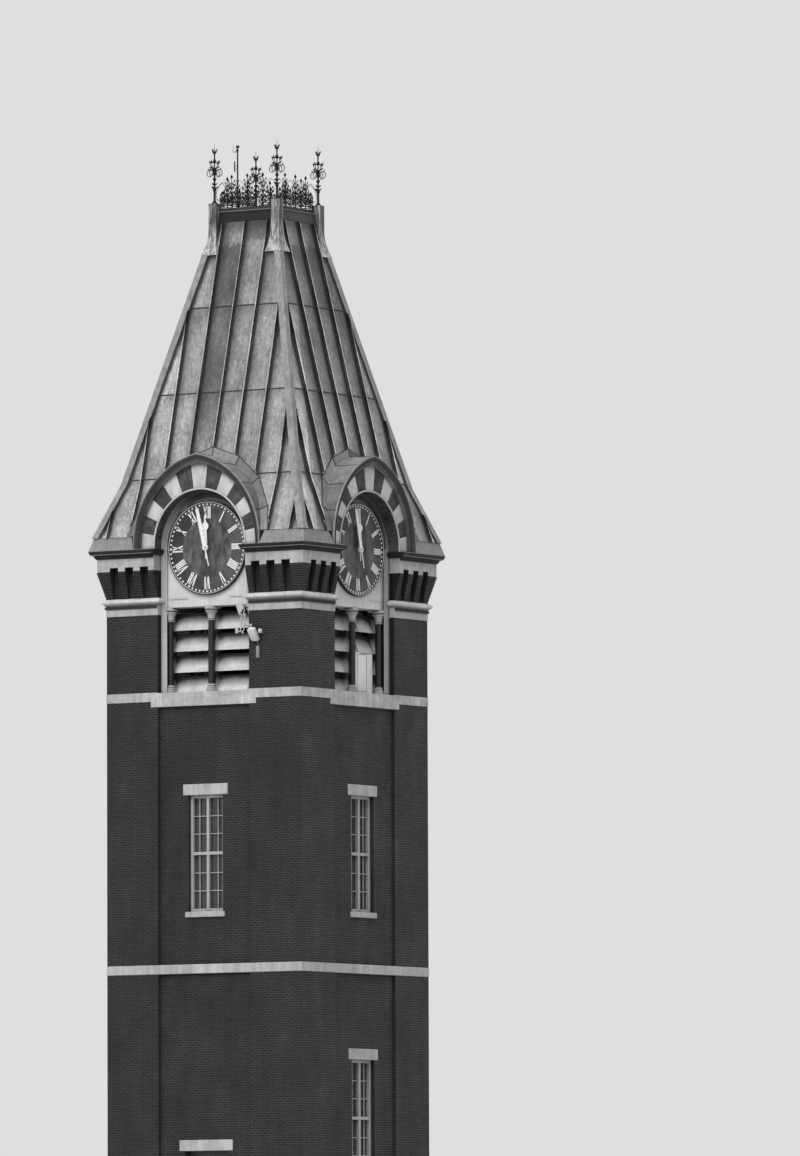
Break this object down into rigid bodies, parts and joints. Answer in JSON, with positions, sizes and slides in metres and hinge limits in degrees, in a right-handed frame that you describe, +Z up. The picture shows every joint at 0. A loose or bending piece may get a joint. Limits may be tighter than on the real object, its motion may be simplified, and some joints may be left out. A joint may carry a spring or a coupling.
{
  "type": "clock tower",
  "caption": "Square brick and stone clock tower with louvred belfry openings, an arched dial on each side and a tall ribbed metal roof with iron cresting.",
  "frame": {"origin": "centre of the tower's base, on the ground", "axes": "+Z up along the tower's axis; -Y is the front, with the doorway"},
  "size_m": [7.578, 7.578, 32.76],
  "materials": {
    "brick": "matte",
    "arch_brick": "matte",
    "stone": "matte",
    "arch_stone": "matte",
    "gutter_metal": "satin",
    "roof_metal": "satin",
    "painted_panel": "satin",
    "dial_copper": "satin",
    "hand_white": "satin",
    "dark_shaft": "satin",
    "turned_stone": "matte",
    "painted_wood": "satin",
    "iron": "satin",
    "mast_metal": "satin",
    "fixture": "satin",
    "frame_paint": "satin",
    "window_glass": "gloss",
    "door_paint": "satin",
    "floor_boards": "matte"
  },
  "bodies": {
    "root": {"arch_bricks": "arch_brick", "arch_stones": "arch_stone", "back_roof_slope": "roof_metal", "back_wall": "brick", "belfry_floor": "floor_boards", "colonette_shafts": "dark_shaft", "colonette_stones": "turned_stone", "corbel_table": "brick", "corner_finials": "iron", "corner_piers": "brick", "corner_posts": "roof_metal", "cresting": "iron", "dial_panels": "painted_panel", "dials": "dial_copper", "door": "door_paint", "dormer_hoods": "roof_metal", "eaves_cornice": "gutter_metal", "eaves_flashings": "roof_metal", "frieze": "stone", "front_roof_slope": "roof_metal", "front_wall": "brick", "ground_floor": "floor_boards", "hip_caps": "roof_metal", "left_roof_slope": "roof_metal", "left_wall": "brick", "louvre_hatch": "painted_wood", "louvres": "painted_wood", "mast": "mast_metal", "plinth": "stone", "right_roof_slope": "roof_metal", "right_wall": "brick", "roof_deck": "roof_metal", "sill_course": "stone", "storey_band": "stone", "string_course": "stone", "upper_floor": "floor_boards", "wall_bracket": "fixture", "wall_camera": "fixture", "window_frames": "frame_paint", "window_glass": "window_glass", "window_stones": "stone"},
    "front_minute_hand": {"front_minute_hand": "hand_white"},
    "front_hour_hand": {"front_hour_hand": "hand_white"},
    "right_minute_hand": {"right_minute_hand": "hand_white"},
    "right_hour_hand": {"right_hour_hand": "hand_white"},
    "back_minute_hand": {"back_minute_hand": "hand_white"},
    "back_hour_hand": {"back_hour_hand": "hand_white"},
    "left_minute_hand": {"left_minute_hand": "hand_white"},
    "left_hour_hand": {"left_hour_hand": "hand_white"}
  },
  "joints": [
    {"name": "front_minute_turn", "type": "hinge", "parent": "root", "child": "front_minute_hand", "pos_m": [0, -3.29, 20.615], "axis": [0, 1, 0], "continuous": true},
    {"name": "front_hour_turn", "type": "hinge", "parent": "root", "child": "front_hour_hand", "pos_m": [0, -3.29, 20.615], "axis": [0, 1, 0], "continuous": true},
    {"name": "right_minute_turn", "type": "hinge", "parent": "root", "child": "right_minute_hand", "pos_m": [3.29, 0, 20.615], "axis": [-1, 0, 0], "continuous": true},
    {"name": "right_hour_turn", "type": "hinge", "parent": "root", "child": "right_hour_hand", "pos_m": [3.29, 0, 20.615], "axis": [-1, 0, 0], "continuous": true},
    {"name": "back_minute_turn", "type": "hinge", "parent": "root", "child": "back_minute_hand", "pos_m": [0, 3.29, 20.615], "axis": [0, -1, 0], "continuous": true},
    {"name": "back_hour_turn", "type": "hinge", "parent": "root", "child": "back_hour_hand", "pos_m": [0, 3.29, 20.615], "axis": [0, -1, 0], "continuous": true},
    {"name": "left_minute_turn", "type": "hinge", "parent": "root", "child": "left_minute_hand", "pos_m": [-3.29, 0, 20.615], "axis": [1, 0, 0], "continuous": true},
    {"name": "left_hour_turn", "type": "hinge", "parent": "root", "child": "left_hour_hand", "pos_m": [-3.29, 0, 20.615], "axis": [1, 0, 0], "continuous": true}
  ],
  "couplings": [
    {"joint": "front_hour_turn", "follows": "front_minute_turn", "ratio": 0.083333},
    {"joint": "right_minute_turn", "follows": "front_minute_turn", "ratio": 1},
    {"joint": "right_hour_turn", "follows": "front_minute_turn", "ratio": 0.083333},
    {"joint": "back_minute_turn", "follows": "front_minute_turn", "ratio": 1},
    {"joint": "back_hour_turn", "follows": "front_minute_turn", "ratio": 0.083333},
    {"joint": "left_minute_turn", "follows": "front_minute_turn", "ratio": 1},
    {"joint": "left_hour_turn", "follows": "front_minute_turn", "ratio": 0.083333}
  ]
}
